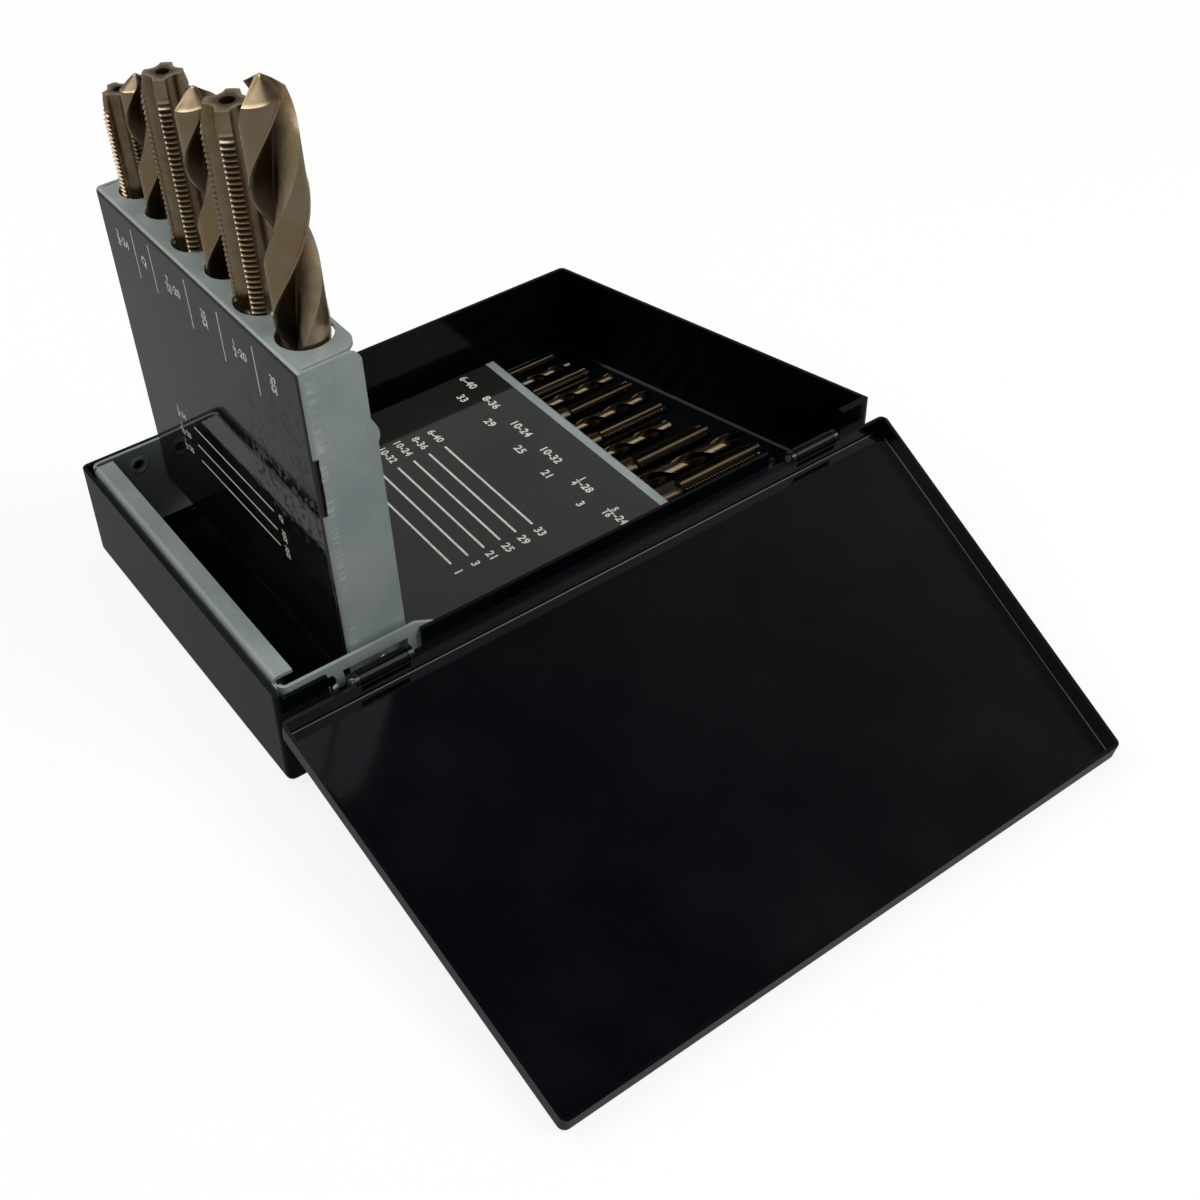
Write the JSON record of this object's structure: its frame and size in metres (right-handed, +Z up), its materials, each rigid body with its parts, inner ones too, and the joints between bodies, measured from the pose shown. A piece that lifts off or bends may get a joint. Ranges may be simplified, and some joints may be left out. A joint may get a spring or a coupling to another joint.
{
  "type": "drill bit case",
  "caption": "Folding sheet-metal case for drills and taps, shown open: lid laid back, large bits standing in a raised holed panel, small bits lying in a flat one.",
  "frame": {"origin": "on the underside of the case, midway between its long walls and half the mean of its two lengths from the square end", "axes": "+X along the hinge towards the slanted end, +Y from the hinge wall to the back wall, +Z up"},
  "size_m": [0.1824, 0.2123, 0.1634],
  "materials": {
    "case_enamel": "black gloss enamel",
    "bracket_paint": "pale blue-grey satin paint",
    "panel_paint": "grey satin paint with pale printing",
    "bit_steel": "straw-coloured ground steel",
    "bright_steel": "bright drawn wire and rivets"
  },
  "bodies": {
    "case": {"base_box": "case_enamel", "hinge_pin_left": "bright_steel", "hinge_pin_right": "bright_steel", "end_bracket": "bracket_paint", "large_panel_pivots": "bright_steel", "small_panel_pivots": "bright_steel"},
    "lid": {"lid": "case_enamel"},
    "large_panel": {"large_bit_panel": "panel_paint", "large_tap_shelf": "panel_paint"},
    "small_panel": {"small_bit_panel": "panel_paint", "small_tap_stop": "panel_paint", "small_drill_stop": "panel_paint"},
    "drill_q": {"drill_q": "bit_steel"},
    "drill_25_64": {"drill_25_64": "bit_steel"},
    "drill_29_64": {"drill_29_64": "bit_steel"},
    "tap_3_8": {"tap_3_8": "bit_steel"},
    "tap_7_16": {"tap_7_16": "bit_steel"},
    "tap_1_2": {"tap_1_2": "bit_steel"},
    "drill_33": {"drill_33": "bit_steel"},
    "drill_29": {"drill_29": "bit_steel"},
    "drill_25": {"drill_25": "bit_steel"},
    "drill_21": {"drill_21": "bit_steel"},
    "drill_3": {"drill_3": "bit_steel"},
    "drill_i": {"drill_i": "bit_steel"},
    "tap_6": {"tap_6": "bit_steel"},
    "tap_8": {"tap_8": "bit_steel"},
    "tap_10_coarse": {"tap_10_coarse": "bit_steel"},
    "tap_10_fine": {"tap_10_fine": "bit_steel"},
    "tap_1_4": {"tap_1_4": "bit_steel"},
    "tap_5_16": {"tap_5_16": "bit_steel"}
  },
  "joints": [
    {"name": "lid_hinge", "type": "hinge", "parent": "case", "child": "lid", "pos_m": [0, -0.0544, 0.0249], "axis": [1, 0, 0], "range_deg": [-98, 0]},
    {"name": "large_panel_pivot", "type": "hinge", "parent": "case", "child": "large_panel", "pos_m": [-0.05493, 0, 0.0202], "axis": [0, -1, 0], "range_deg": [-91.5, 0]},
    {"name": "small_panel_pivot", "type": "hinge", "parent": "case", "child": "small_panel", "pos_m": [-0.04362, 0, 0.0065], "axis": [0, -1, 0], "range_deg": [0, 74]},
    {"name": "drill_q_slide", "type": "slide", "parent": "large_panel", "child": "drill_q", "axis": [-0.0262, 0, 0.9997], "range_m": [0, 0.088]},
    {"name": "drill_25_64_slide", "type": "slide", "parent": "large_panel", "child": "drill_25_64", "axis": [-0.0262, 0, 0.9997], "range_m": [0, 0.088]},
    {"name": "drill_29_64_slide", "type": "slide", "parent": "large_panel", "child": "drill_29_64", "axis": [-0.0262, 0, 0.9997], "range_m": [0, 0.088]},
    {"name": "tap_3_8_slide", "type": "slide", "parent": "large_panel", "child": "tap_3_8", "axis": [-0.0262, 0, 0.9997], "range_m": [0, 0.055]},
    {"name": "tap_7_16_slide", "type": "slide", "parent": "large_panel", "child": "tap_7_16", "axis": [-0.0262, 0, 0.9997], "range_m": [0, 0.046]},
    {"name": "tap_1_2_slide", "type": "slide", "parent": "large_panel", "child": "tap_1_2", "axis": [-0.0262, 0, 0.9997], "range_m": [0, 0.046]},
    {"name": "drill_33_slide", "type": "slide", "parent": "small_panel", "child": "drill_33", "axis": [1, 0, 0], "range_m": [0, 0.008]},
    {"name": "drill_29_slide", "type": "slide", "parent": "small_panel", "child": "drill_29", "axis": [1, 0, 0], "range_m": [0, 0.008]},
    {"name": "drill_25_slide", "type": "slide", "parent": "small_panel", "child": "drill_25", "axis": [1, 0, 0], "range_m": [0, 0.008]},
    {"name": "drill_21_slide", "type": "slide", "parent": "small_panel", "child": "drill_21", "axis": [1, 0, 0], "range_m": [0, 0.008]},
    {"name": "drill_3_slide", "type": "slide", "parent": "small_panel", "child": "drill_3", "axis": [1, 0, 0], "range_m": [0, 0.008]},
    {"name": "drill_i_slide", "type": "slide", "parent": "small_panel", "child": "drill_i", "axis": [1, 0, 0], "range_m": [0, 0.008]},
    {"name": "tap_6_slide", "type": "slide", "parent": "small_panel", "child": "tap_6", "axis": [1, 0, 0], "range_m": [0, 0.008]},
    {"name": "tap_8_slide", "type": "slide", "parent": "small_panel", "child": "tap_8", "axis": [1, 0, 0], "range_m": [0, 0.008]},
    {"name": "tap_10_coarse_slide", "type": "slide", "parent": "small_panel", "child": "tap_10_coarse", "axis": [1, 0, 0], "range_m": [0, 0.008]},
    {"name": "tap_10_fine_slide", "type": "slide", "parent": "small_panel", "child": "tap_10_fine", "axis": [1, 0, 0], "range_m": [0, 0.008]},
    {"name": "tap_1_4_slide", "type": "slide", "parent": "small_panel", "child": "tap_1_4", "axis": [1, 0, 0], "range_m": [0, 0.008]},
    {"name": "tap_5_16_slide", "type": "slide", "parent": "small_panel", "child": "tap_5_16", "axis": [1, 0, 0], "range_m": [0, 0.008]}
  ]
}
